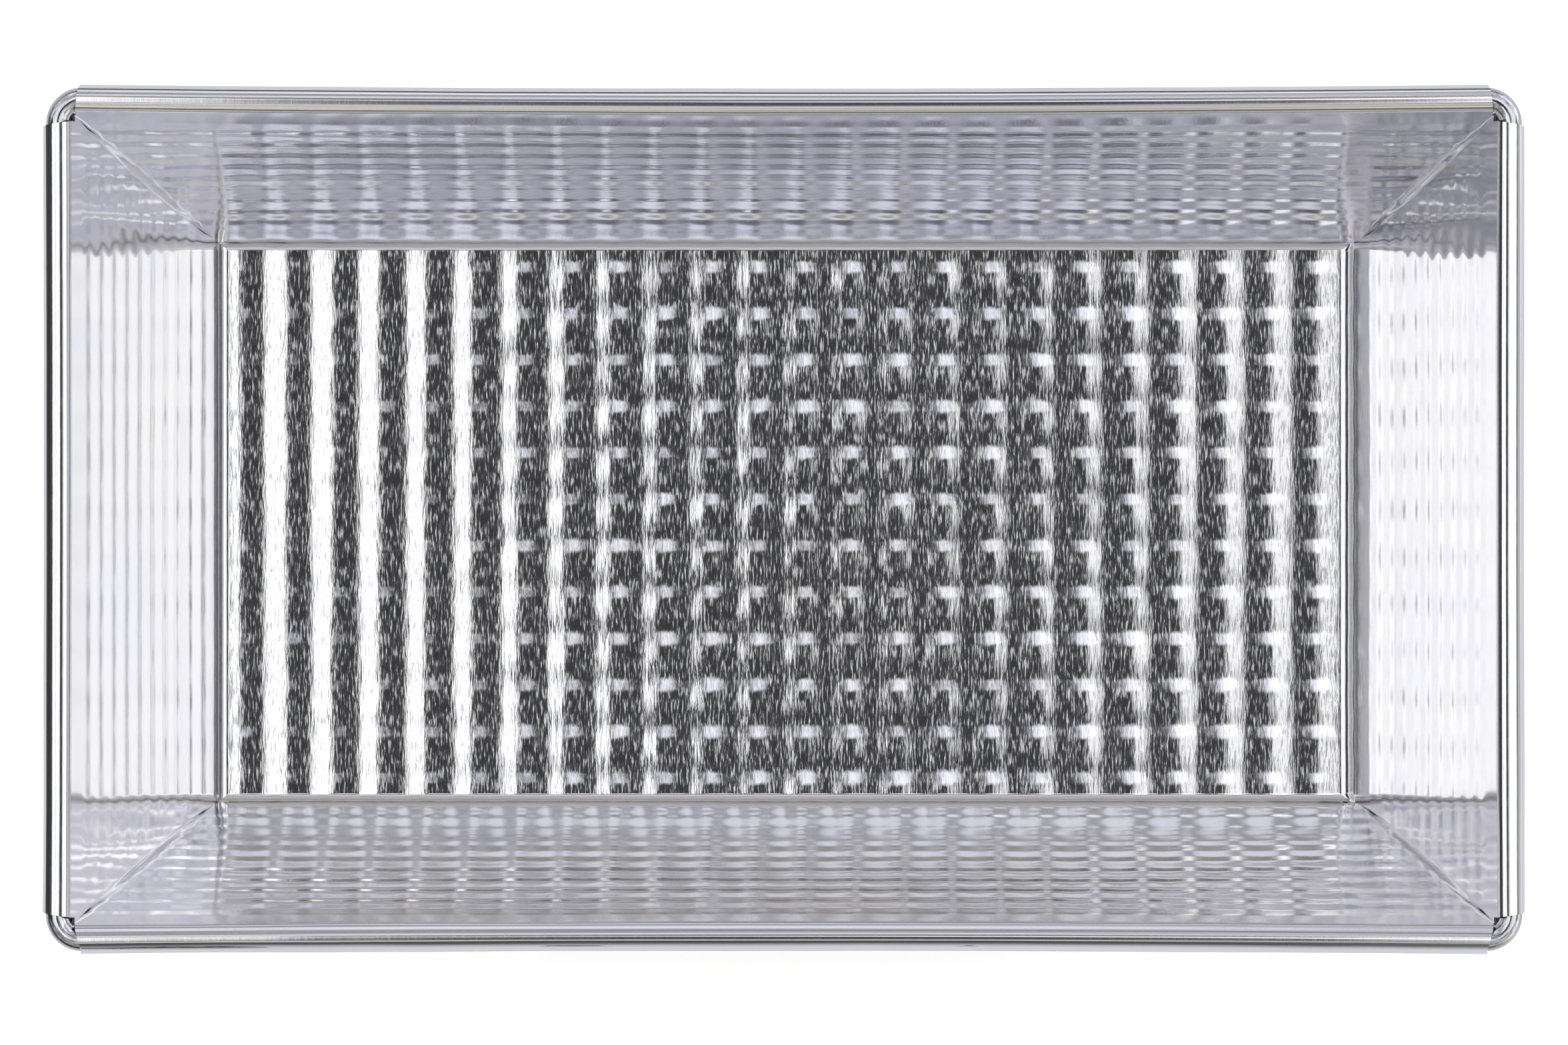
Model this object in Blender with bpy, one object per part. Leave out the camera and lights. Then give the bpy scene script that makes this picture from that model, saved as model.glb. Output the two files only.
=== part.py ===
"""Folded tinplate loaf pan, with a round steel wire rolled into its rim.

One blank of thin tinplate is folded up into a floor and four leaning walls. At each corner the spare
triangle of sheet stays in one piece with both walls: it is doubled and laid flat against the outside
of the end wall, so the pan has no seam that could leak. The top edge of each wall is rolled over the
wire, and the rolls stop short of the corners, where the wire shows.

Frame: metres, +Z up, origin at the centre of the floor's underside, +X along the pan's length.
The end walls face +X and -X, the long walls +Y and -Y.
"""

import math

import bmesh
import bpy
from mathutils import Vector

MM = 0.001
X, Y = 0, 1              # places in the (x, y) pairs below

# Driving dimensions, in millimetres
HEIGHT = 79.0            # underside to the top of the rolled rim
SHEET = 0.35             # tinplate thickness
FLOOR_HALF = (81.3, 39.95)     # half the floor's inside length and width
WIRE_RADIUS = 1.5
WIRE_HALF = (98.15, 56.85)     # wire ring, centreline, half length and half width
WIRE_CORNER = 3.3        # wire ring, centreline radius at a corner
HEM_CLEARANCE = 0.15     # radial room between the wire and the roll round it
HEM_END = (94.75, 53.40)       # rolls running along x, and along y, end this far from the middle
HEM_LIP_DEG = -112.0     # where the roll's free lip stops, under the wire
FOLD_GAP = 0.15          # room between the layers of a corner fold
CORNER_SLIT = 0.30       # slit inside each corner, between the end wall's edge and the long wall
FLAP_FOOT = 1.2          # width of the corner flap at the floor
FLAP_TOP = 46.4          # width of the corner flap at its top
BEND_CHAMFER = 0.45      # cut back on both sides of the long wall's bend at a corner
WALL_TOP_DROP = 0.40     # the corners of the walls stop this far under the wire

# Mesh resolution
HEM_STEPS = 16
WIRE_SIDES = 24
CORNER_STEPS = 8         # round each corner of the wire

# Edges bent more sharply than this are shaded sharp, in degrees
BODY_SHARP_DEG = 28.0
WIRE_SHARP_DEG = 40.0

# Radii of the roll's two faces and of its middle, and the heights they give
HEM_INNER = WIRE_RADIUS + HEM_CLEARANCE
HEM_OUTER = HEM_INNER + SHEET
HEM_MID = HEM_INNER + SHEET / 2
WIRE_Z = HEIGHT - HEM_OUTER
WALL_TOP_Z = WIRE_Z - WIRE_RADIUS - WALL_TOP_DROP


def wall_lean(wire_half, floor_half):
    """Angle from upright of a wall that leaves the floor's edge tangent to the roll round the wire."""
    angle = math.radians(12.0)   # first guess, refined by repetition
    for _ in range(40):
        run = wire_half - floor_half - HEM_OUTER / math.cos(angle)
        angle = math.atan(run / (WIRE_Z - SHEET))
    return angle


LEAN = tuple(wall_lean(wire, floor) for wire, floor in zip(WIRE_HALF, FLOOR_HALF))


# The sheet's level cross-section

def wall_middle(axis, z):
    """Distance from the centre, along axis, of the middle of a wall's sheet at height z."""
    at_wire = WIRE_HALF[axis] - HEM_MID / math.cos(LEAN[axis])
    return at_wire + (z - WIRE_Z) * math.tan(LEAN[axis])


def corner_path(z):
    """The sheet's middle line round the +X +Y corner at height z, from the end wall to the long wall."""
    level_x, level_y = (SHEET / math.cos(angle) for angle in LEAN)   # thickness in a level cut
    x_wall = wall_middle(X, z)
    x_inner_layer = x_wall + level_x + FOLD_GAP
    x_outer_layer = x_inner_layer + level_x + FOLD_GAP
    y_long = wall_middle(Y, z)
    y_edge = y_long - level_y - CORNER_SLIT
    y_crease = y_edge - (FLAP_FOOT + (FLAP_TOP - FLAP_FOOT) * z / WALL_TOP_Z)
    return [
        (x_wall, y_edge),
        (x_inner_layer, y_edge),
        (x_inner_layer, y_crease),
        (x_outer_layer, y_crease),
        (x_outer_layer, y_long - BEND_CHAMFER),
        (x_outer_layer - BEND_CHAMFER, y_long),
    ]


def section_path(z):
    """The sheet's closed middle line at height z, anticlockwise from above."""
    corner = corner_path(z)
    path = list(corner)
    path += [(-x, y) for x, y in reversed(corner)]
    path += [(-x, -y) for x, y in corner]
    path += [(x, -y) for x, y in reversed(corner)]
    return path


def offset_path(path, side):
    """The path moved to one face of the leaning sheet: side 1 is left of it, -1 is right."""
    lines = []
    for start, end in zip(path, path[1:] + path[:1]):
        start = Vector(start)
        along = (Vector(end) - start).normalized()
        left = Vector((-along.y, along.x))
        lean_factor = math.hypot(left.x / math.cos(LEAN[X]), left.y / math.cos(LEAN[Y]))
        half = 0.5 * SHEET * lean_factor
        lines.append((start + left * half * side, along))
    # Each corner is where its two moved lines meet.
    moved = []
    for i, (point, along) in enumerate(lines):
        before, before_along = lines[i - 1]
        cross = before_along.x * along.y - before_along.y * along.x
        gap = point - before
        reach = (gap.x * along.y - gap.y * along.x) / cross
        moved.append((before.x + before_along.x * reach, before.y + before_along.y * reach))
    return moved


# Shared by both pieces

def make_material(name, color, roughness, metallic):
    mat = bpy.data.materials.new(name)
    mat.use_nodes = True
    inputs = mat.node_tree.nodes["Principled BSDF"].inputs
    inputs["Base Color"].default_value = (*color, 1.0)
    inputs["Roughness"].default_value = roughness
    inputs["Metallic"].default_value = metallic
    return mat


def finish_object(bm, name, mat, sharp_deg, parent):
    bmesh.ops.recalc_face_normals(bm, faces=bm.faces)
    mesh = bpy.data.meshes.new(name)
    bm.to_mesh(mesh)
    bm.free()
    mesh.materials.append(mat)
    mesh.shade_smooth()
    mesh.set_sharp_from_angle(angle=math.radians(sharp_deg))
    obj = bpy.data.objects.new(name, mesh)
    bpy.context.scene.collection.objects.link(obj)
    obj.parent = parent


# Tinplate body

def sheet_ring(bm, z, side):
    """Vertices round one face of the sheet at height z."""
    points = offset_path(section_path(z), side)
    return [bm.verts.new((x * MM, y * MM, z * MM)) for x, y in points]


def hem_profile(across_axis):
    """Pairs (wire side, far side) of (distance from the middle, height), from the wall to the lip."""
    start = math.pi - LEAN[across_axis]
    stop = math.radians(HEM_LIP_DEG)
    pairs = []
    for i in range(HEM_STEPS + 1):
        angle = start + (stop - start) * i / HEM_STEPS
        pairs.append([
            (WIRE_HALF[across_axis] + radius * math.cos(angle), WIRE_Z + radius * math.sin(angle))
            for radius in (HEM_INNER, HEM_OUTER)
        ])
    return pairs


def add_fold_strip(bm, rings, i, j):
    """Both faces and the top edge of the sheet between corners i and j of the section."""
    out_low, out_top, in_low, in_top = rings
    bm.faces.new((out_low[i], out_low[j], out_top[j], out_top[i]))
    bm.faces.new((in_low[j], in_low[i], in_top[i], in_top[j]))
    bm.faces.new((out_top[i], out_top[j], in_top[j], in_top[i]))


def add_hemmed_wall(bm, rings, i, j, across_axis):
    """The wall between corners i and j of the section, facing along across_axis, and its roll."""
    out_low, out_top, in_low, in_top = rings
    along_axis = 1 - across_axis
    corner = out_top[i].co
    start = math.copysign(HEM_END[along_axis], corner[along_axis])
    sign = math.copysign(1.0, corner[across_axis])

    def add_row(*faces):
        """Vertices at the roll's start and end, for the wire side and then the far side."""
        row = []
        for across, z in faces:
            for along in (start, -start):
                x, y = (along, across) if across_axis == Y else (across, along)
                row.append(bm.verts.new((x * MM, y * MM, z * MM)))
        return row

    # The outside of the wall becomes the wire side of the roll.
    rows = [add_row(*((ring[i].co[across_axis] / MM, WALL_TOP_Z) for ring in (out_top, in_top)))]
    for pair in hem_profile(across_axis):
        rows.append(add_row(*((sign * distance, z) for distance, z in pair)))

    # The wall itself, with triangles out to the corners beyond the roll's ends
    out_start, out_end, in_start, in_end = rows[0]
    for face in (
        (out_low[i], out_start, out_top[i]),
        (out_low[i], out_low[j], out_end, out_start),
        (out_low[j], out_top[j], out_end),
        (in_low[i], in_top[i], in_start),
        (in_low[i], in_start, in_end, in_low[j]),
        (in_low[j], in_end, in_top[j]),
        (out_top[i], out_start, in_start, in_top[i]),
        (out_end, out_top[j], in_top[j], in_end),
    ):
        bm.faces.new(face)

    # The roll's two faces and two ends, then its lip
    for low, high in zip(rows, rows[1:]):
        for a, b in ((0, 1), (3, 2), (2, 0), (1, 3)):
            bm.faces.new((low[a], low[b], high[b], high[a]))
    lip = rows[-1]
    bm.faces.new((lip[0], lip[1], lip[3], lip[2]))


def make_body(mat, parent):
    bm = bmesh.new()
    # The outside of the sheet is the path's right-hand side, and the inside its left.
    out_low = sheet_ring(bm, 0.0, -1)
    out_top = sheet_ring(bm, WALL_TOP_Z, -1)
    in_low = sheet_ring(bm, SHEET, 1)
    in_top = sheet_ring(bm, WALL_TOP_Z, 1)
    rings = (out_low, out_top, in_low, in_top)

    # The floor's underside and top
    bm.faces.new(list(reversed(out_low)))
    bm.faces.new(in_low)

    # The last segment of each quarter joins two corners: it is a wall, by turns +Y, -X, -Y and +X.
    count = len(out_low)
    per_quarter = count // 4
    for i in range(count):
        j = (i + 1) % count
        quarter, step = divmod(i, per_quarter)
        if step == per_quarter - 1:
            add_hemmed_wall(bm, rings, i, j, across_axis=(Y, X)[quarter % 2])
        else:
            add_fold_strip(bm, rings, i, j)
    finish_object(bm, "folded_tin_body", mat, BODY_SHARP_DEG, parent)


# Rim wire

def wire_ring(bm, centre_x, centre_y, turn):
    """One round section of the wire, on a corner arc about the centre at angle turn."""
    ring = []
    for side in range(WIRE_SIDES):
        angle = 2 * math.pi * (side + 0.5) / WIRE_SIDES
        reach = WIRE_CORNER + WIRE_RADIUS * math.cos(angle)
        x = centre_x + reach * math.cos(turn)
        y = centre_y + reach * math.sin(turn)
        z = WIRE_Z + WIRE_RADIUS * math.sin(angle)
        ring.append(bm.verts.new((x * MM, y * MM, z * MM)))
    return ring


def make_wire(mat, parent):
    bm = bmesh.new()
    rings = []
    for corner, (sign_x, sign_y) in enumerate(((1, 1), (-1, 1), (-1, -1), (1, -1))):
        centre_x = sign_x * (WIRE_HALF[X] - WIRE_CORNER)
        centre_y = sign_y * (WIRE_HALF[Y] - WIRE_CORNER)
        for i in range(CORNER_STEPS + 1):
            turn = math.radians(90.0 * corner + 90.0 * i / CORNER_STEPS)
            rings.append(wire_ring(bm, centre_x, centre_y, turn))
    for ring, following in zip(rings, rings[1:] + rings[:1]):
        for i in range(WIRE_SIDES):
            j = (i + 1) % WIRE_SIDES
            bm.faces.new((ring[i], following[i], following[j], ring[j]))
    finish_object(bm, "rim_wire", mat, WIRE_SHARP_DEG, parent)


for old in list(bpy.data.objects):
    bpy.data.objects.remove(old, do_unlink=True)

tinplate = make_material("tinplate", color=(0.80, 0.80, 0.82), roughness=0.24, metallic=1.0)
steel_wire = make_material("steel_wire", color=(0.74, 0.74, 0.76), roughness=0.30, metallic=1.0)

pan = bpy.data.objects.new("loaf_pan", None)
bpy.context.scene.collection.objects.link(pan)
make_body(tinplate, pan)
make_wire(steel_wire, pan)
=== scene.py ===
"""Looks for the folded tinplate loaf pan: one embossed sheet folded and rolled over a wire ring.

The pan stands on z = 0, centred on the origin, its long sides along X and its open top up.
The sheet is built as a middle surface (floor, bends, walls, corner folds, rolled rim) that
carries the flat blank's own coordinates. It is then embossed and thickened into one solid.
Modelling is in millimetres; meshes, lights and camera are in metres.
"""

import math
from collections import namedtuple

import bpy
import numpy as np
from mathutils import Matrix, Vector


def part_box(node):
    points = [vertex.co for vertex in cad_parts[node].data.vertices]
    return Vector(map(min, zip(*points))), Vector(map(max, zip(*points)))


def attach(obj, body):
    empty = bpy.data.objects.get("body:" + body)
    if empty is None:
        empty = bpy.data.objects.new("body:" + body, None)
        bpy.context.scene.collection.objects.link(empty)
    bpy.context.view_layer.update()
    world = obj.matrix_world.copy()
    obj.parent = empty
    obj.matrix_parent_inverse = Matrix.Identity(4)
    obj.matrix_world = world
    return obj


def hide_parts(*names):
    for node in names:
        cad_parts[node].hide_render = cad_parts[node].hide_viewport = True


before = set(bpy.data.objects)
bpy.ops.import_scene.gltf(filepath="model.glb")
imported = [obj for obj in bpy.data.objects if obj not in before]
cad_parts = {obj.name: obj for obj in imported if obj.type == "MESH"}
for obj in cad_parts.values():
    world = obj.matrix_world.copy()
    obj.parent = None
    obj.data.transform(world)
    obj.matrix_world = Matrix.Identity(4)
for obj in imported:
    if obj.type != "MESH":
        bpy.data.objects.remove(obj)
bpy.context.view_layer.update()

MM = 0.001

# ---------------------------------------------------------------- sizes, in millimetres
_, body_hi = (np.array(v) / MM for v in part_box("folded_tin_body"))
wire_lo, wire_hi = (np.array(v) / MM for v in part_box("rim_wire"))
WIRE_R = (wire_hi[2] - wire_lo[2]) / 2
WIRE_Z = (wire_hi[2] + wire_lo[2]) / 2
WIRE_HALF_X = wire_hi[0] - WIRE_R           # the ring's centre line
WIRE_HALF_Y = wire_hi[1] - WIRE_R
WIRE_CORNER_R = 3.5
WIRE_CORNER_STEPS = 14
WIRE_SIDE_STEPS = 16
WIRE_SIDES = 28                             # facets round the wire's section

SHEET = 0.35                                # sheet thickness
FLOOR_HALF_X, FLOOR_HALF_Y = 81.3, 39.95
BEND_R_X, BEND_R_Y = 1.9, 1.45              # floor bend at the end walls and the long walls
BEND_ROWS = 5

WIRE_GAP = 0.02
HEM_R = WIRE_R + WIRE_GAP + SHEET / 2       # the roll's middle line round the wire
HEM_OUT = body_hi[0] - WIRE_HALF_X          # the roll's outer face from the wire's centre
HEM_END_X, HEM_END_Y = 95.8, 53.8           # where the rolls stop, short of the corners
HEM_GROUP = 6                               # wall columns to one column of the roll
HEM_TAPER = 0.9                             # how far a roll's ends draw back
WALL_TOP_Z = WIRE_Z - WIRE_R - 0.40

# Embossing: U runs along X and V along Y in the flat blank.
PITCH_U, PHASE_U = 6.750, 2.58
PITCH_V, PHASE_V = 6.700, 1.64
BUMP = 0.215
FLOOR_STEPS = 6                             # grid lines per pitch on the floor
WALL_STEPS = 4.85                           # rows per pitch up the walls
FLOOR_MARGIN, WALL_MARGIN = 0.4, 0.45       # least space beside a border line
FAN_LINES = 9

# Corner fold: gaps between its layers, and points along each part of its section.
FOLD_GAP_1 = SHEET + 0.16
FOLD_GAP_2 = SHEET + 0.20
FOLD_PARTS = {"fold": 4, "leg_1": 2, "crease": 3, "leg_2": 18, "bend": 5}

# How much of the rolling grain shows on each part.
FLOOR_GRAIN, WALL_GRAIN, HEM_GRAIN = 1.0, 0.22, 0.14


def smooth(start, end, x):
    """Smooth rise from 0 at start to 1 at end."""
    t = np.clip((np.asarray(x, float) - start) / (end - start), 0, 1)
    return t * t * (3 - 2 * t)


def grid_lines(start, end, step, phase, margin):
    """Lines on the embossing's own spacing, with both borders added."""
    k = math.ceil((start + margin - phase) / step)
    lines = [start]
    while phase + k * step < end - margin:
        lines.append(phase + k * step)
        k += 1
    lines.append(end)
    return np.array(lines)


def wall_lean(wire_half, floor_half):
    """Lean from upright that joins the floor's edge to the roll's outer face."""
    angle = math.radians(12.0)
    for _ in range(40):
        run = wire_half - floor_half - HEM_OUT / math.cos(angle)
        angle = math.atan(run / (WIRE_Z - SHEET))
    return angle


# ---------------------------------------------------------------- wall sections
class Wall:
    """Section of a wall's middle surface, from the floor's edge up to the roll."""

    def __init__(self, wire_half, floor_half, pitch, phase, radius):
        self.wire_half = wire_half
        self.radius = radius
        self.lean = wall_lean(wire_half, floor_half)
        self.turn = math.pi / 2 - self.lean
        cos_lean = math.cos(self.lean)
        self.bend_z = SHEET / 2 + radius
        # where the bend leaves the floor
        rise = (self.bend_z - WIRE_Z) * math.tan(self.lean)
        self.foot = wire_half - HEM_R / cos_lean + rise - radius / cos_lean
        # where the bend runs into the straight wall
        self.straight_z = self.bend_z - radius * math.sin(self.lean)
        self.straight_out = self.foot + radius * cos_lean
        start = self.foot + radius * self.turn
        end = start + (WALL_TOP_Z - self.straight_z) / cos_lean
        self.rows = grid_lines(start, end, pitch / WALL_STEPS, phase, WALL_MARGIN)

    def build_section(self, intervals):
        """Distance out, height, blank coordinate and tilt of each row."""
        rows = self.rows
        if len(rows) - 1 != intervals:
            # both kinds of wall need the same rows, so the last five are spread evenly
            keep = intervals - 5
            spread = np.linspace(rows[keep], rows[-1], intervals + 1 - keep)
            rows = self.rows = np.concatenate([rows[:keep], spread])
        angles = [self.turn * i / BEND_ROWS for i in range(BEND_ROWS)]
        out = [self.foot + self.radius * math.sin(a) for a in angles]
        height = [self.bend_z - self.radius * math.cos(a) for a in angles]
        flat = [self.foot + self.radius * a for a in angles]
        up = rows - rows[0]
        out += list(self.straight_out + up * math.sin(self.lean))
        height += list(self.straight_z + up * math.cos(self.lean))
        flat += list(rows)
        tilt = [self.turn * min(i, BEND_ROWS) / BEND_ROWS for i in range(len(out))]
        self.heights = height
        self.section = list(zip(out, height, flat, tilt))

    def at(self, z):
        """Distance from the middle at height z."""
        z = np.asarray(z, float)
        straight = self.straight_out + (z - self.straight_z) * math.tan(self.lean)
        drop = self.radius**2 - (self.bend_z - z) ** 2
        arc = self.foot + np.sqrt(np.clip(drop, 0, None))
        return np.where(z < self.straight_z, arc, straight)


end_wall = Wall(WIRE_HALF_X, FLOOR_HALF_X, PITCH_U, PHASE_U, BEND_R_X)
long_wall = Wall(WIRE_HALF_Y, FLOOR_HALF_Y, PITCH_V, PHASE_V, BEND_R_Y)
WALLS = (end_wall, long_wall)               # by the axis each faces: 0 is X, 1 is Y
row_intervals = min(len(wall.rows) for wall in WALLS) - 1
for wall in WALLS:
    wall.build_section(row_intervals)


# ---------------------------------------------------------------- corner fold, by height
FLAP_SLOPE = math.tan((math.pi / 2 - 2 * end_wall.lean) / 2 - end_wall.lean)
# The last point of the bend is left out: it is the long wall's first column.
FOLD_STEPS = [(part, i / n) for part, n in FOLD_PARTS.items() for i in range(1, n + 1)][:-1]
FOLD_TOTAL = sum(FOLD_PARTS.values())

FoldLines = namedtuple("FoldLines", "start_x gap_1 gap_2 bend_r wall_y edge_y crease_y")


def corner_lines(z):
    """The fold's driving lines at height z, for the +X +Y corner."""
    grow = smooth(0.0, 9.0, z)
    gap_1, gap_2 = FOLD_GAP_1 * grow, FOLD_GAP_2 * grow
    up = np.clip((np.asarray(z, float) - SHEET / 2) / (WALL_TOP_Z - SHEET / 2), 0, 1)
    swell = np.sin(np.pi * up) ** 0.8
    bend_r = (0.35 + 1.75 * swell) * grow + 0.02
    edge = (0.08 + 0.92 * swell) * grow + 0.02
    wall_y = long_wall.at(z)
    edge_y = wall_y - edge - gap_1 / 2
    slant = np.asarray(z, float) / math.cos(end_wall.lean)
    crease_y = np.minimum(edge_y, long_wall.foot + 0.3 - slant * FLAP_SLOPE)
    crease_y = np.where(slant < 1e-6, edge_y, crease_y)
    return FoldLines(end_wall.at(z), gap_1, gap_2, bend_r, wall_y, edge_y, crease_y)


def fold_point(part, t, z):
    """X and Y of the fold's section at share t of one part, at height z."""
    start_x, gap_1, gap_2, bend_r, wall_y, edge_y, crease_y = corner_lines(z)
    x1, x2 = start_x + gap_1, start_x + gap_1 + gap_2
    if part == "fold":
        a = math.pi * (1 - t)
        return start_x + gap_1 / 2 + gap_1 / 2 * math.cos(a), edge_y + gap_1 / 2 * math.sin(a)
    if part == "leg_1":
        return x1, edge_y + (crease_y - edge_y) * t
    if part == "crease":
        a = math.pi * (1 + t)
        return x1 + gap_2 / 2 + gap_2 / 2 * math.cos(a), crease_y + gap_2 / 2 * math.sin(a)
    if part == "leg_2":
        return x2, crease_y + (wall_y - bend_r - crease_y) * t
    a = math.pi / 2 * t
    return x2 - bend_r + bend_r * math.cos(a), wall_y - bend_r + bend_r * math.sin(a)


def fold_blank(part, t, y, z):
    """Where a point of the fold lies in the flat blank."""
    lean, foot_y = end_wall.lean, long_wall.foot
    slant = z / math.cos(lean)
    r = np.hypot(slant, y - foot_y)
    inward = np.arctan2(foot_y - y, np.maximum(slant, 1e-6)) + lean
    inward = np.clip(inward, 0, math.pi / 4 - lean)
    if part in ("fold", "leg_1"):
        angle = lean + inward
    elif part == "crease":
        angle = lean + inward + (math.pi / 2 - 2 * (lean + inward)) * t
    else:
        angle = math.pi / 2 - lean - inward
    return end_wall.foot + r * np.cos(angle), foot_y + r * np.sin(angle)


# ---------------------------------------------------------------- middle surface
verts, blank, emboss_share, exact_normals, grain_share, faces = [], [], [], [], [], []
ring = []       # columns of vertex ids round the pan, each from the floor upwards
hem_runs = []   # (axis, sign, top vertex ids that carry a roll)


def add_vert(point, uv, emboss_amount, normal, grain):
    """normal is the surface's direction where known exactly, else zero."""
    verts.append(point)
    blank.append(uv)
    emboss_share.append(emboss_amount)
    exact_normals.append(normal)
    grain_share.append(grain)
    return len(verts) - 1


def add_column(points, foot_id):
    """Add a ring column above one of the floor's border vertices."""
    ids = [foot_id] + [add_vert(*point, WALL_GRAIN) for point in points]
    ring.append(ids)
    return ids


def place(axis, out, along):
    """Order a wall's outward and sideways values as X and Y; also the reverse."""
    return (out, along) if axis == 0 else (along, out)


GRIDS = tuple(
    grid_lines(-wall.foot, wall.foot, pitch / FLOOR_STEPS, phase, FLOOR_MARGIN)
    for wall, pitch, phase in ((end_wall, PITCH_U, PHASE_U), (long_wall, PITCH_V, PHASE_V))
)
floor_ids = [
    [add_vert((x, y, SHEET / 2), (x, y), 1.0, (0.0, 0.0, 1.0), FLOOR_GRAIN) for y in GRIDS[1]]
    for x in GRIDS[0]
]
for near, far in zip(floor_ids, floor_ids[1:]):
    for j in range(len(near) - 1):
        faces.append((near[j], far[j], far[j + 1], near[j + 1]))


def wall_reach(axis, z):
    """Half width of a wall at height z, up to the corner fold."""
    lines = corner_lines(z)
    if axis == 0:
        return float(lines.edge_y)
    return float(lines.start_x + lines.gap_1 + lines.gap_2 - lines.bend_r)


def fan_shares(axis, hem_end):
    """Shares of the widening from floor to wall, with one line where the roll ends."""
    foot = WALLS[1 - axis].foot
    roll_share = (hem_end - foot) / (wall_reach(axis, WALL_TOP_Z) - foot)
    return np.linspace(0, roll_share, FAN_LINES)[1:].tolist() + [1.0]


FANS = (fan_shares(0, HEM_END_Y), fan_shares(1, HEM_END_X))


def wall_emboss(z, to_fold):
    """The embossing is flat near the roll, and weak low down and beside a corner fold."""
    below_roll = 1 - smooth(WALL_TOP_Z - 6.0, WALL_TOP_Z - 2.6, z)
    above_bend = 0.45 + 0.55 * smooth(1.5, 11.0, z)
    beside_fold = 0.5 + 0.5 * smooth(0.3, 2.5, to_fold)
    return float(below_roll * above_bend * beside_fold)


def add_wall(axis, sign):
    """Columns of one wall, anticlockwise seen from above."""
    grid, fans = GRIDS[1 - axis], FANS[axis]
    side_foot = WALLS[1 - axis].foot
    last = len(grid) - 1
    # floor grid line, side of the fan (0 on the grid), share of the widening
    stations = [(0, -1, share) for share in reversed(fans)]
    stations += [(i, 0, 0.0) for i in range(len(grid))]
    stations += [(last, 1, share) for share in fans]
    if (axis == 0) != (sign > 0):
        stations.reverse()
    border = len(GRIDS[axis]) - 1 if sign > 0 else 0
    columns = []
    for line, side, share in stations:
        points = []
        for out, z, flat, tilt in WALLS[axis].section[1:]:
            reach = wall_reach(axis, z)
            along = side * (side_foot + (reach - side_foot) * share) if side else grid[line]
            points.append((
                (*place(axis, sign * out, along), z),
                place(axis, sign * flat, along),
                wall_emboss(z, reach - abs(along)),
                (*place(axis, -sign * math.sin(tilt), 0.0), math.cos(tilt)),
            ))
        i, j = place(axis, border, line)
        columns.append(add_column(points, floor_ids[i][j]))
    # the two outermost columns carry no roll
    hem_runs.append((axis, sign, [ids[-1] for ids in columns[1:-1]]))


def add_corner(sx, sy):
    """Columns of one corner fold, anticlockwise seen from above."""
    order = list(enumerate(FOLD_STEPS, 1))
    if sx * sy < 0:
        order.reverse()
    foot_id = floor_ids[-1 if sx > 0 else 0][-1 if sy > 0 else 0]
    for k, (part, t) in order:
        share = k / FOLD_TOTAL
        amount = 0.0
        if part == "leg_2":
            amount = 0.45 * float(smooth(0.0, 0.12, t) * (1 - smooth(0.9, 1.0, t)))
        points = []
        for end_z, long_z in zip(end_wall.heights[1:], long_wall.heights[1:]):
            z = end_z * (1 - share) + long_z * share
            x, y = fold_point(part, t, z)
            u, v = fold_blank(part, t, y, z)
            points.append(((sx * x, sy * y, z), (sx * u, sy * v), amount, (0.0, 0.0, 0.0)))
        add_column(points, foot_id)


# Each wall's axis and sign, then the signs of the corner that follows it.
for axis, sign, sx, sy in ((0, 1, 1, 1), (1, 1, -1, 1), (0, -1, -1, -1), (1, -1, 1, -1)):
    add_wall(axis, sign)
    add_corner(sx, sy)

for a, b in zip(ring, ring[1:] + ring[:1]):
    for j in range(len(a) - 1):
        quad = (a[j + 1], b[j + 1], b[j], a[j])
        # columns of a corner fold share one floor vertex
        faces.append(quad[:3] if quad[2] == quad[3] else quad)


# ---------------------------------------------------------------- the roll over the wire
def on_circle(r, angle):
    return r * math.cos(angle), r * math.sin(angle)


def round_roll(wall, bulge):
    """Middle line round the wire's centre, from wall to lip, with a soft inner bulge."""
    start, stop, steps = math.pi - wall.lean, math.radians(-112.0), 24
    points = []
    for i in range(steps + 1):
        t = i / steps
        r = HEM_R + bulge * float(smooth(0.0, 0.07, t) * (1 - smooth(0.08, 0.34, t)))
        points.append(on_circle(r, start + (stop - start) * t))
    return points


def loose_roll(wall):
    """The -Y roll bellies in over the wall and comes down outside as a flat strip."""
    start, stop, steps = math.pi - wall.lean, math.radians(81), 12
    points = []
    for i in range(steps + 1):
        t = i / steps
        belly = 0.50 * float(smooth(0.0, 0.12, t) * (1 - smooth(0.13, 0.50, t)))
        points.append(on_circle(HEM_R + belly + 0.02, start + (stop - start) * t))
    crease = points[-1]
    strip_end = (1.69, -0.10)
    for t in (0.03, 0.12, 0.4, 0.7, 0.93, 1.0):
        sag = 0.05 * math.sin(math.pi * t)
        points.append(tuple(c + (e - c) * t + sag for c, e in zip(crease, strip_end)))
    # the lip turns under the wire, in degrees
    for degrees in (-12, -28, -46, -66, -88, -108):
        points.append(on_circle(HEM_R, math.radians(degrees)))
    return points


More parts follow.
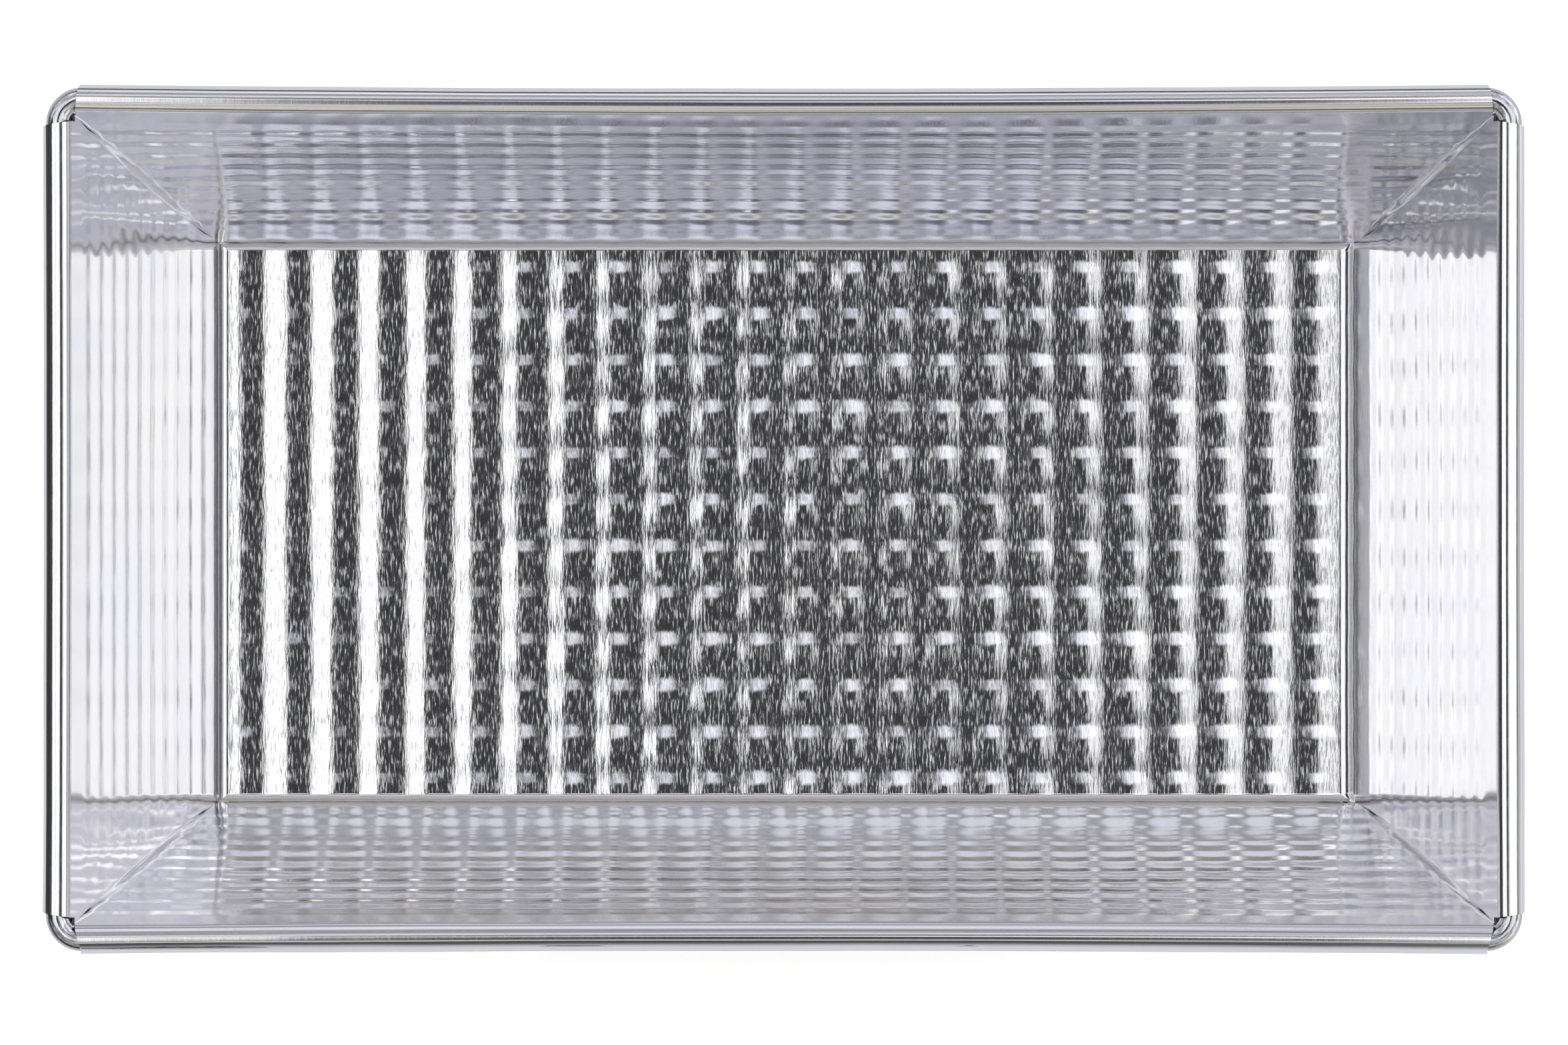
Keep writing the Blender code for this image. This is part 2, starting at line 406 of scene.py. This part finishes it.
def hem_section(axis, sign):
    """(distance, height, length along the sheet, direction away from the wire) by point."""
    wall = WALLS[axis]
    if axis == 1 and sign < 0:
        points = loose_roll(wall)
    else:
        points = round_roll(wall, bulge=0.42 if axis == 0 else 0.12)
    section, length = [], 0.0
    for i, (out, z) in enumerate(points):
        before, after = points[max(0, i - 1)], points[min(len(points) - 1, i + 1)]
        step_out, step_z = after[0] - before[0], after[1] - before[1]
        if i == 0:
            step_out, step_z = math.sin(wall.lean), math.cos(wall.lean)
        else:
            length += math.hypot(out - before[0], z - before[1])
        size = math.hypot(step_out, step_z)
        normal = (-step_z / size, step_out / size)
        section.append((wall.wire_half + out, WIRE_Z + z, length, normal))
    return section


def add_roll(axis, sign, tops):
    """Roll one wall's top over the wire, on fewer columns than the wall has."""
    last = len(tops) - 1
    starts = list(range(0, len(tops), HEM_GROUP))
    if starts[-1] != last:
        if last - starts[-1] < 3:
            starts[-1] = last
        else:
            starts.append(last)
    section = hem_section(axis, sign)
    lines = []
    for s in starts:
        x, y, top_z = verts[tops[s]]
        top_out, along = place(axis, x, y)
        gap = math.hypot(section[0][0] - abs(top_out), section[0][1] - top_z)
        blank_start = WALLS[axis].rows[-1] + gap
        ids = [tops[s]]
        for k, (out, z, length, (normal_out, normal_z)) in enumerate(section):
            side = along
            if s in (0, last):
                drawn = HEM_TAPER * min(1.0, k / len(section) * 1.6)
                side = math.copysign(abs(along) - drawn, along)
            ids.append(add_vert(
                (*place(axis, sign * out, side), z),
                place(axis, sign * (blank_start + length), side),
                0.0,
                (*place(axis, sign * normal_out, 0.0), normal_z),
                HEM_GRAIN,
            ))
        lines.append(ids)
    for n, (a, b) in enumerate(zip(lines, lines[1:])):
        dense = tops[starts[n] : starts[n + 1] + 1]
        faces.append((a[1], b[1], *reversed(dense)))
        for k in range(1, len(a) - 1):
            faces.append((a[k + 1], b[k + 1], b[k], a[k]))


for run in hem_runs:
    add_roll(*run)

middle = np.array(verts)
uv = np.array(blank)
triangles = np.array([(f[0], f[k], f[k + 1]) for f in faces for k in range(1, len(f) - 1)])


# ---------------------------------------------------------------- normals and sheet directions
def unit(vectors, least=1e-12):
    return vectors / np.maximum(np.linalg.norm(vectors, axis=1), least)[:, None]


def into_surface(vectors, normals):
    """Take away the part of each vector that lies along the normal."""
    return vectors - (vectors * normals).sum(1)[:, None] * normals


def vertex_normals(points):
    """Normals weighted by each triangle's angle at the vertex."""
    p0, p1, p2 = (points[triangles[:, k]] for k in range(3))
    face_units = unit(np.cross(p1 - p0, p2 - p0))
    normals = np.zeros_like(points)
    for k in range(3):
        a = points[triangles[:, (k + 1) % 3]] - points[triangles[:, k]]
        b = points[triangles[:, (k + 2) % 3]] - points[triangles[:, k]]
        sizes = np.maximum(np.linalg.norm(a, axis=1) * np.linalg.norm(b, axis=1), 1e-12)
        angle = np.arccos(np.clip((a * b).sum(1) / sizes, -1, 1))
        np.add.at(normals, triangles[:, k], face_units * angle[:, None])
    return unit(normals)


def blank_u_directions(points, normals):
    """The way the blank's U axis runs in the surface at each vertex."""
    p0, p1, p2 = (points[triangles[:, k]] for k in range(3))
    uv0, uv1, uv2 = (uv[triangles[:, k]] for k in range(3))
    e1, e2 = p1 - p0, p2 - p0
    d1, d2 = uv1 - uv0, uv2 - uv0
    det = d1[:, 0] * d2[:, 1] - d1[:, 1] * d2[:, 0]
    usable = np.abs(det) > 1e-4
    det = np.where(usable, det, 1.0)
    face_u = (e1 * d2[:, 1:2] - e2 * d1[:, 1:2]) / det[:, None] * usable[:, None]
    area = np.linalg.norm(np.cross(e1, e2), axis=1)[:, None]
    directions = np.zeros_like(points)
    for k in range(3):
        np.add.at(directions, triangles[:, k], face_u * area)
    directions = into_surface(directions, normals)
    directions[np.linalg.norm(directions, axis=1) < 1e-6] = (1, 0, 0)
    return unit(into_surface(directions, normals), 1e-9)


def rim_pull(x, y):
    """How far the rim bows inwards: at the ends, and at the long sides."""
    end_pull = 0.12 * np.clip(1 - (y / 54.0) ** 2, 0, None)
    long_pull = np.where(y < 0, 0.46, 0.58) * np.clip(1 - (x / 96.0) ** 2, 0, None)
    return end_pull, long_pull


def wander(points):
    """Slow unevenness of the floor, walls and rim."""
    belly_x, belly_y = 0.30, 0.45
    soft_foot = 0.94
    edge_lift = 0.36
    out = points.copy()
    x, y, z = points.T
    high = np.clip(z / WIRE_Z, 0, 1)
    rising = smooth(0.0, 1.0, high)
    at_end = smooth(0.93, 1.0, np.abs(x) / end_wall.at(z))
    at_side = smooth(0.86, 1.0, np.abs(y) / long_wall.at(z))
    end_pull, long_pull = rim_pull(x, y)
    out[:, 1] -= np.sign(y) * long_pull * rising * at_side
    out[:, 0] -= np.sign(x) * end_pull * rising * at_end
    # the bend at the +X end is the softest of the four
    foot = np.clip(z / 3.0, 0, 1) * np.clip(1 - z / WIRE_Z, 0, 1)
    out[:, 0] += (x > 0) * soft_foot * foot * at_end
    # the floor sags slightly across its width
    across = np.minimum((y / long_wall.foot) ** 2, 1.0)
    out[:, 2] += edge_lift * across * (1 - smooth(0.0, 30.0, z))
    # walls belly outwards between the floor and the rim
    belly = np.sin(np.pi * high)
    out[:, 1] += np.sign(y) * belly_y * belly * np.clip(1 - (x / 92.0) ** 4, 0, None) * at_side
    out[:, 0] += np.sign(x) * belly_x * belly * np.clip(1 - (y / 50.0) ** 4, 0, None) * at_end
    return out


even_normals = vertex_normals(middle)
middle = wander(middle)
normals = vertex_normals(middle)
across_dirs = blank_u_directions(middle, normals)
# Exact normals, where known, are only turned by what the wander changed.
exact = np.array(exact_normals)
known = np.linalg.norm(exact, axis=1) > 0.5
normals[known] = exact[known] + (normals - even_normals)[known]
normals = unit(normals)
across_dirs = unit(into_surface(across_dirs, normals), 1e-9)
along_dirs = np.cross(normals, across_dirs)


# ---------------------------------------------------------------- embossing
def emboss(uv, z):
    """Height and slopes of the embossing: bumps on low ridges that run across the pan."""
    u, v = uv[:, 0], uv[:, 1]
    turn_u, turn_v = 2 * math.pi / PITCH_U, 2 * math.pi / PITCH_V
    angle_u, angle_v = turn_u * (u - PHASE_U), turn_v * (v - PHASE_V)
    wave_u, slope_u = 0.5 + 0.5 * np.cos(angle_u), -0.5 * turn_u * np.sin(angle_u)
    wave_v, slope_v = 0.5 + 0.5 * np.cos(angle_v), -0.5 * turn_v * np.sin(angle_v)
    up = smooth(3.0, 12.0, z)
    on_long = smooth(long_wall.foot - 0.5, long_wall.foot + 1.5, np.abs(v))
    shallow = 0.7 * (1 - smooth(-64.0, -16.0, u)) * (1 - on_long)
    # heights between the bumps, as shares of a bump: along the ridges, and across them
    ridge = 0.42 + 0.32 * shallow
    link = 0.20 - 0.10 * shallow + up * (0.20 * on_long - 0.08 * (1 - on_long))
    size = (
        1.0
        + 0.09 * np.sin(0.37 * u + 1.3) * np.sin(0.29 * v + 0.7)
        + 0.07 * np.sin(0.83 * u - 0.51 * v)
        + 0.06 * np.sin(0.21 * u + 0.68 * v + 2.0)
    )
    height = wave_u * (ridge + (1 - ridge) * wave_v) + link * (1 - wave_u) * wave_v
    return (
        BUMP * size * height,
        BUMP * size * slope_u * (ridge + (1 - ridge - link) * wave_v),
        BUMP * size * (wave_u * (1 - ridge - link) + link) * slope_v,
    )


def ripples(uv):
    """Height and slopes of the slow unevenness of thin rolled sheet."""
    rng = np.random.default_rng(11)
    height, slope_u, slope_v = np.zeros((3, len(uv)))
    for _ in range(26):
        wavelength = rng.uniform(9, 60)
        heading = rng.uniform(0, math.pi)
        turn = 2 * math.pi / wavelength
        turn_u, turn_v = turn * math.cos(heading), turn * math.sin(heading)
        phase = rng.uniform(0, 2 * math.pi)
        size = 0.0042 * (wavelength / 20.0) ** 1.1
        angle = turn_u * uv[:, 0] + turn_v * uv[:, 1] + phase
        height += size * np.sin(angle)
        slope_u += size * turn_u * np.cos(angle)
        slope_v += size * turn_v * np.cos(angle)
    return height, slope_u, slope_v


emboss_share = np.array(emboss_share)
relief, relief_u, relief_v = (
    emboss_share * e + r for e, r in zip(emboss(uv, middle[:, 2]), ripples(uv))
)
shading = unit(normals - relief_u[:, None] * across_dirs - relief_v[:, None] * along_dirs)


# ---------------------------------------------------------------- meshes
def add_attribute(mesh, name, kind, values):
    """Store one value per vertex; kind is FLOAT or FLOAT_VECTOR."""
    field = "value" if kind == "FLOAT" else "vector"
    attribute = mesh.attributes.new(name, kind, "POINT")
    attribute.data.foreach_set(field, np.array(values, np.float32).ravel())


def link_object(name, data):
    obj = bpy.data.objects.new(name, data)
    bpy.context.scene.collection.objects.link(obj)
    return obj


def polygon_values(mesh, name, width=1, kind=int):
    values = np.zeros(len(mesh.polygons) * width, kind)
    mesh.polygons.foreach_get(name, values)
    return values


def make_tin():
    """Thicken the middle surface into one closed solid; also return its skin's face count."""
    inner = middle + normals * (relief + SHEET / 2)[:, None]
    outer = middle + normals * (relief - SHEET / 2)[:, None]
    count = len(middle)
    edges = dict.fromkeys(pair for f in faces for pair in zip(f, f[1:] + f[:1]))
    border = [(a, b) for a, b in edges if (b, a) not in edges]
    skin = faces + [tuple(v + count for v in reversed(f)) for f in faces]
    strip = [(b, a, a + count, b + count) for a, b in border]

    mesh = bpy.data.meshes.new("folded_tin_body_visual")
    mesh.from_pydata((np.concatenate([inner, outer]) * MM).tolist(), [], skin + strip)
    mesh.update()
    mesh.validate(verbose=False)

    # the third blank coordinate tells the outer face from the inner
    flat = np.zeros((2 * count, 3))
    flat[:, :2] = np.concatenate([uv, uv])
    flat[count:, 2] = 1.0
    add_attribute(mesh, "blank", "FLOAT_VECTOR", flat)
    add_attribute(mesh, "across", "FLOAT_VECTOR", np.concatenate([across_dirs, across_dirs]))
    add_attribute(mesh, "grain", "FLOAT", grain_share * 2)

    # both faces are shaded from the relief's slopes, the sheared edge by its own faces
    mesh.polygons.foreach_set("use_smooth", np.ones(len(mesh.polygons), bool))
    loops = np.zeros(len(mesh.loops), int)
    mesh.loops.foreach_get("vertex_index", loops)
    loop_normals = np.concatenate([shading, -shading])[loops]
    face_normals = polygon_values(mesh, "normal", 3, float).reshape(-1, 3)
    loop_faces = np.repeat(np.arange(len(mesh.polygons)), polygon_values(mesh, "loop_total"))
    on_edge = loop_faces >= len(skin)
    loop_normals[on_edge] = face_normals[loop_faces[on_edge]]
    mesh.normals_split_custom_set(loop_normals.tolist())
    return link_object("tin_sheet", mesh), len(skin)


def wire_stations():
    """(x, y, outward angle) along the ring's centre line, anticlockwise."""
    corners = ((1, 1), (-1, 1), (-1, -1), (1, -1))

    def on_corner(k, angle):
        sx, sy = corners[k % 4]
        return (
            sx * (WIRE_HALF_X - WIRE_CORNER_R) + WIRE_CORNER_R * math.cos(angle),
            sy * (WIRE_HALF_Y - WIRE_CORNER_R) + WIRE_CORNER_R * math.sin(angle),
        )

    stations = []
    for k in range(4):
        for i in range(WIRE_CORNER_STEPS + 1):
            angle = math.radians(90.0 * k + 90.0 * i / WIRE_CORNER_STEPS)
            stations.append((*on_corner(k, angle), angle))
        x, y, angle = stations[-1]
        next_x, next_y = on_corner(k + 1, angle)
        for i in range(1, WIRE_SIDE_STEPS):
            t = i / WIRE_SIDE_STEPS
            stations.append((x + (next_x - x) * t, y + (next_y - y) * t, angle))
    return stations


def make_wire():
    """The wire ring, bowed inwards with the rim."""
    stations = wire_stations()
    points, flat, quads = [], [], []
    length = 0.0
    last_x, last_y, _ = stations[0]
    for x, y, angle in stations:
        length += math.hypot(x - last_x, y - last_y)
        last_x, last_y = x, y
        end_pull, long_pull = rim_pull(x, y)
        shift_x = math.copysign(end_pull, x) if abs(x) > WIRE_HALF_X - 1 else 0.0
        shift_y = math.copysign(long_pull, y) if abs(y) > WIRE_HALF_Y - 1 else 0.0
        for s in range(WIRE_SIDES):
            around = 2 * math.pi * (s + 0.5) / WIRE_SIDES
            r = WIRE_R * math.cos(around)
            points.append((
                x + r * math.cos(angle) - shift_x,
                y + r * math.sin(angle) - shift_y,
                WIRE_Z + WIRE_R * math.sin(around),
            ))
            flat.append((length, around * WIRE_R, 0.0))
    for i in range(len(stations)):
        a, b = i * WIRE_SIDES, (i + 1) % len(stations) * WIRE_SIDES
        for s in range(WIRE_SIDES):
            t = (s + 1) % WIRE_SIDES
            quads.append((a + s, b + s, b + t, a + t))
    mesh = bpy.data.meshes.new("rim_wire_visual")
    mesh.from_pydata((np.array(points) * MM).tolist(), [], quads)
    mesh.update()
    add_attribute(mesh, "blank", "FLOAT_VECTOR", flat)
    mesh.shade_smooth()
    return link_object("wire_ring", mesh)


# ---------------------------------------------------------------- shader helpers
def set_inputs(node, inputs):
    """Link each input given as a socket, and set any other to its value."""
    for name, value in inputs.items():
        if isinstance(value, bpy.types.NodeSocket):
            node.id_data.links.new(value, node.inputs[name])
        else:
            node.inputs[name].default_value = value


def add_node(tree, kind, inputs=None, **settings):
    node = tree.nodes.new(kind)
    for name, value in settings.items():
        setattr(node, name, value)
    set_inputs(node, inputs or {})
    return node


def attribute(tree, name, output="Vector"):
    return add_node(tree, "ShaderNodeAttribute", attribute_name=name).outputs[output]


def math_node(tree, operation, *values):
    inputs = dict(enumerate(values))
    return add_node(tree, "ShaderNodeMath", inputs, operation=operation).outputs[0]


def map_range(tree, value, low, high, to_low=0.0, to_high=1.0, kind="LINEAR"):
    inputs = {
        "Value": value, "From Min": low, "From Max": high, "To Min": to_low, "To Max": to_high,
    }
    node = add_node(tree, "ShaderNodeMapRange", inputs, interpolation_type=kind)
    return node.outputs["Result"]


def mix(tree, factor, a, b, kind="RGBA"):
    inputs = {"Factor": factor, "A": a, "B": b}
    return add_node(tree, "ShaderNodeMix", inputs, data_type=kind).outputs["Result"]


def stretched_noise(tree, vector, scale_x, scale_y, detail, roughness=0.5, offset=0.0):
    """Noise in blank coordinates, with its own scale each way."""
    mapping = add_node(tree, "ShaderNodeMapping", {
        "Scale": (scale_x, scale_y, 1.0),
        "Location": (offset, offset * 1.7, 0.0),
        "Vector": vector,
    })
    noise = add_node(tree, "ShaderNodeTexNoise", {
        "Scale": 1.0,
        "Detail": detail,
        "Roughness": roughness,
        "Vector": mapping.outputs["Vector"],
    })
    return noise.outputs["Fac"]


def colour_ramp(tree, factor, low, high, low_at=0.0, high_at=1.0):
    node = add_node(tree, "ShaderNodeValToRGB", {"Fac": factor})
    for element, position, colour in zip(
        node.color_ramp.elements, (low_at, high_at), (low, high)
    ):
        element.position = position
        element.color = (*colour, 1)
    return node.outputs["Color"]


def add_bump(tree, inputs):
    return add_node(tree, "ShaderNodeBump", inputs).outputs["Normal"]


def new_material(name):
    material = bpy.data.materials.new(name)
    material.use_nodes = True
    tree = material.node_tree
    return material, tree, tree.nodes["Principled BSDF"]


# ---------------------------------------------------------------- materials
def tin_material():
    """Bright tinplate with fine rolling grain: short streaks that run across the pan."""
    material, tree, bsdf = new_material("tinplate_look")
    flat = attribute(tree, "blank")
    fine = stretched_noise(tree, flat, 4.0, 0.52, detail=2.0, roughness=0.55, offset=3.1)
    medium = stretched_noise(tree, flat, 1.1, 0.22, detail=1.5, offset=17.0)
    broad = stretched_noise(tree, flat, 0.05, 0.045, detail=3.0, offset=40.0)
    # seen again in the walls, the floor's grain is too fine to resolve
    depth = add_node(tree, "ShaderNodeLightPath").outputs["Glossy Depth"]
    again = map_range(tree, depth, 0.0, 1.0, to_low=1.0, to_high=0.25)
    grain = math_node(tree, "MULTIPLY", attribute(tree, "grain", "Fac"), again)
    fine_normal = add_bump(tree, {"Strength": grain, "Distance": 0.010 * MM, "Height": fine})
    normal = add_bump(tree, {
        "Strength": grain, "Distance": 0.022 * MM, "Height": medium, "Normal": fine_normal,
    })
    colour = colour_ramp(
        tree, broad, (0.86, 0.86, 0.90), (0.90, 0.895, 0.89), low_at=0.3, high_at=0.75
    )
    # the grain's scratched tops scatter more than the bright sheet between them
    scratched = map_range(
        tree, fine, 0.44, 0.76, to_low=0.060, to_high=0.30, kind="SMOOTHSTEP"
    )
    set_inputs(bsdf, {
        "Normal": normal,
        "Base Color": colour,
        "Roughness": mix(tree, grain, 0.11, scratched, "FLOAT"),
        # the grain scatters sideways, across its own direction
        "Tangent": attribute(tree, "across"),
        "Anisotropic": 0.85,
        "Metallic": 1.0,
    })
    return material


def wire_material():
    """Steel wire with faint marks drawn out along its length."""
    material, tree, bsdf = new_material("steel_wire_look")
    noise = stretched_noise(tree, attribute(tree, "blank"), 0.35, 5.0, detail=3.0)
    set_inputs(bsdf, {
        "Normal": add_bump(tree, {"Distance": 0.02 * MM, "Height": noise}),
        "Base Color": colour_ramp(tree, noise, (0.58, 0.59, 0.63), (0.70, 0.71, 0.73)),
        "Metallic": 1.0,
        "Roughness": 0.10,
    })
    return material


def edge_and_shade_material():
    """Sheared edge, mottled and dark: partly a duller cut edge, partly painted shade for the
    shadowed gaps under the wire where the edge shows.
    """
    material, tree, bsdf = new_material("sheared_edge_and_shade_look")
    position = add_node(tree, "ShaderNodeTexCoord").outputs["Object"]
    noise = add_node(tree, "ShaderNodeTexNoise", {"Scale": 900.0, "Vector": position})
    set_inputs(bsdf, {
        # painted shade: this dark grey also stands for the shade in the gaps under the wire,
        # besides a duller cut edge
        "Base Color": colour_ramp(
            tree, noise.outputs["Fac"], (0.16, 0.16, 0.17), (0.34, 0.34, 0.35)
        ),
        "Metallic": 1.0,
        "Roughness": 0.55,
    })
    return material


def floor_material():
    """Pale backdrop that the metal sees darker, and darkest far off towards -X and -Y."""
    camera_colour = (0.94, 0.94, 0.94, 1)
    grey = (0.42, 0.43, 0.45, 1)
    dark = (0.035, 0.035, 0.04, 1)
    material, tree, bsdf = new_material("studio_floor_look")
    position = add_node(tree, "ShaderNodeNewGeometry").outputs["Position"]
    distance = add_node(tree, "ShaderNodeVectorMath", {0: position}, operation="LENGTH")
    far = map_range(tree, distance.outputs["Value"], 0.28, 0.60, kind="SMOOTHSTEP")
    split = add_node(tree, "ShaderNodeSeparateXYZ", {"Vector": position})
    lighter = math_node(tree, "MAXIMUM", split.outputs["Y"], split.outputs["X"])
    away = mix(tree, map_range(tree, lighter, 0.1, 0.5), dark, grey)
    reflected = mix(tree, far, grey, away)
    glossy = add_node(tree, "ShaderNodeLightPath").outputs["Is Glossy Ray"]
    set_inputs(bsdf, {"Base Color": (0.93, 0.93, 0.93, 1), "Roughness": 0.9})
    set_inputs(bsdf, {"Base Color": mix(tree, glossy, camera_colour, reflected)})
    return material


# ---------------------------------------------------------------- the pan's pieces
tin, skin_faces = make_tin()
wire = make_wire()
tin_look, wire_look, edge_and_shade_look = tin_material(), wire_material(), edge_and_shade_material()
tin.data.materials.append(tin_look)
tin.data.materials.append(edge_and_shade_look)
slots = np.zeros(len(tin.data.polygons), int)
# the sheared edge's faces take the dark edge material, which partly paints shade
slots[skin_faces:] = 1
tin.data.polygons.foreach_set("material_index", slots)
wire.data.materials.append(wire_look)

for cad_name, look in (("folded_tin_body", tin_look), ("rim_wire", wire_look)):
    for material_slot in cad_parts[cad_name].material_slots:
        material_slot.material = look

for piece, cad_name, slot in (
    (tin, "folded_tin_body", "tinplate"),
    (wire, "rim_wire", "steel_wire"),
):
    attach(piece, "root")
    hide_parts(cad_name)

# ---------------------------------------------------------------- studio floor and lights
bpy.ops.mesh.primitive_plane_add(size=6.0, location=(0, 0, -0.0002))
floor = bpy.context.object
floor.name = "studio_floor"
floor.data.materials.append(floor_material())

# Flat soft lights facing down: name, x from and to, y from and to, height, radiance.
PANELS = (
    ("soft_panel_left", -0.415, -0.165, -0.34, 0.35, 1.12, 1.45),
    ("soft_panel_far_left", -0.600, -0.440, -0.36, 0.36, 1.12, 1.30),
    ("soft_panel_side_left", -1.03, -0.645, -0.36, 0.36, 1.12, 1.30),
    ("soft_panel_right", 0.150, 0.325, -0.27, 0.29, 0.80, 1.02),
    ("soft_panel_far_right", 0.325, 0.95, -0.29, 0.30, 0.80, 1.18),
)
for name, x0, x1, y0, y1, z, radiance in PANELS:
    light = bpy.data.lights.new(name, "AREA")
    light.shape = "RECTANGLE"
    light.size, light.size_y = x1 - x0, y1 - y0
    light.energy = radiance * math.pi * (x1 - x0) * (y1 - y0)
    panel = link_object(name, light)
    panel.location = ((x0 + x1) / 2, (y0 + y1) / 2, z)
    panel.visible_camera = False


# ---------------------------------------------------------------- surroundings
def build_world():
    """Plain white for the camera and diffuse rays; shaped grey surroundings in the metal."""
    world = bpy.data.worlds.new("studio")
    bpy.context.scene.world = world
    world.use_nodes = True
    tree = world.node_tree
    generated = add_node(tree, "ShaderNodeTexCoord").outputs["Generated"]
    split = add_node(tree, "ShaderNodeSeparateXYZ", {"Vector": generated})
    x, y, z = (split.outputs[name] for name in "XYZ")

    def add(a, b):
        return math_node(tree, "ADD", a, b)

    def subtract(a, b):
        return math_node(tree, "SUBTRACT", a, b)

    def multiply(a, b):
        return math_node(tree, "MULTIPLY", a, b)

    def larger(a, b):
        return math_node(tree, "MAXIMUM", a, b)

    def step(value, start, end):
        return map_range(tree, value, start, end, kind="SMOOTHSTEP")

    def rise(value, start, end, amount):
        return multiply(step(value, start, end), amount)

    # angles from straight up, in degrees: towards +X, +Y and -Y
    to_degrees = 57.2958
    right = multiply(math_node(tree, "ARCTAN2", x, z), to_degrees)
    back = multiply(math_node(tree, "ARCTAN2", y, z), to_degrees)
    front = multiply(back, -1.0)

    # grey fields to the front and back, a little darker down the middle
    sideways = math_node(tree, "ABSOLUTE", right)
    centre = add(rise(sideways, 0.5, 5.0, amount=0.17), 0.83)
    front_grey = multiply(rise(front, 13.3, 31.4, amount=0.68), centre)
    back_grey = multiply(rise(back, 13.3, 30.5, amount=0.64), centre)
    back_low = subtract(
        rise(back, 50.0, 58.0, amount=0.45), rise(back, 32.5, 41.0, amount=0.24)
    )
    back_grey = add(back_grey, back_low)

    # a bright patch just behind straight up
    patch = subtract(rise(back, 3.0, 6.2, amount=1.0), rise(back, 11.5, 14.5, amount=1.0))
    patch_left = add(rise(right, -8.5, -6.0, amount=0.12), rise(right, -3.4, 0.8, amount=0.88))
    patch_sides = multiply(patch_left, subtract(1.0, step(right, 8.0, 12.0)))
    patch = multiply(patch, patch_sides)

    # the front darkens to the left, the back lightens to both sides
    front_side = multiply(subtract(step(right, -28.0, -8.0), 1.0), 0.27)
    back_side = add(
        rise(right, -6.0, 26.0, amount=0.20), rise(right, -4.0, -24.0, amount=0.22)
    )
    level = add(add(front_grey, back_grey), 0.004)
    level = add(level, multiply(front_side, step(front, 10.0, 20.0)))
    level = add(level, multiply(back_side, step(back, 10.0, 20.0)))

    # the surroundings are not even: soft lighter and darker patches
    noise = add_node(
        tree, "ShaderNodeTexNoise", {"Scale": 7.0, "Detail": 1.5, "Vector": generated}
    )
    uneven = add(rise(noise.outputs["Fac"], 0.40, 0.62, amount=1.0), 0.45)
    level = add(multiply(larger(level, 0.0), uneven), larger(patch, 0.0))

    # dark towards the horizon, except to the right
    horizon = larger(
        step(z, math.cos(math.radians(84)), math.cos(math.radians(70))), step(x, 0.35, 0.85)
    )
    level = add(level, rise(right, 52.0, 66.0, amount=0.50))
    level = add(multiply(level, horizon), 0.038)

    # coolest to the front, warm low in the front and in a band behind
    cool = mix(tree, step(front, 6.0, 18.0), (0.975, 0.975, 1.06, 1), (0.90, 0.925, 1.06, 1))
    back_band = multiply(subtract(step(back, 12.2, 15.0), step(back, 20.3, 25.8)), 0.8)
    warmth = larger(step(front, 28.8, 39.5), back_band)
    tint = mix(tree, warmth, cool, (1.0, 0.945, 0.83, 1))

    rays = add_node(tree, "ShaderNodeLightPath").outputs
    plain = larger(rays["Is Camera Ray"], rays["Is Diffuse Ray"])
    plain_level = add(multiply(rays["Is Diffuse Ray"], 0.5), 1.0)
    set_inputs(tree.nodes["Background"], {
        "Strength": mix(tree, plain, level, plain_level, "FLOAT"),
        "Color": mix(tree, plain, tint, (1.0, 1.0, 1.0, 1)),
    })


build_world()

# ---------------------------------------------------------------- camera, above the pan
CAMERA_RISE = 1.1175                        # metres above the wire
CAMERA_Y, TARGET_Y = -0.0064, -0.00045
camera_data = bpy.data.cameras.new("camera")
camera = link_object("camera", camera_data)
bpy.context.scene.camera = camera
camera_data.sensor_width = 36.0
camera_data.lens = 190.08
camera_data.clip_start, camera_data.clip_end = 0.05, 20.0
camera.location = (0.0, CAMERA_Y, WIRE_Z * MM + CAMERA_RISE)
target = Vector((0.0, TARGET_Y, WIRE_Z * MM))
camera.rotation_euler = (target - camera.location).to_track_quat("-Z", "Y").to_euler()

bpy.context.scene.view_settings.view_transform = "Standard"
bpy.context.scene.view_settings.look = "None"
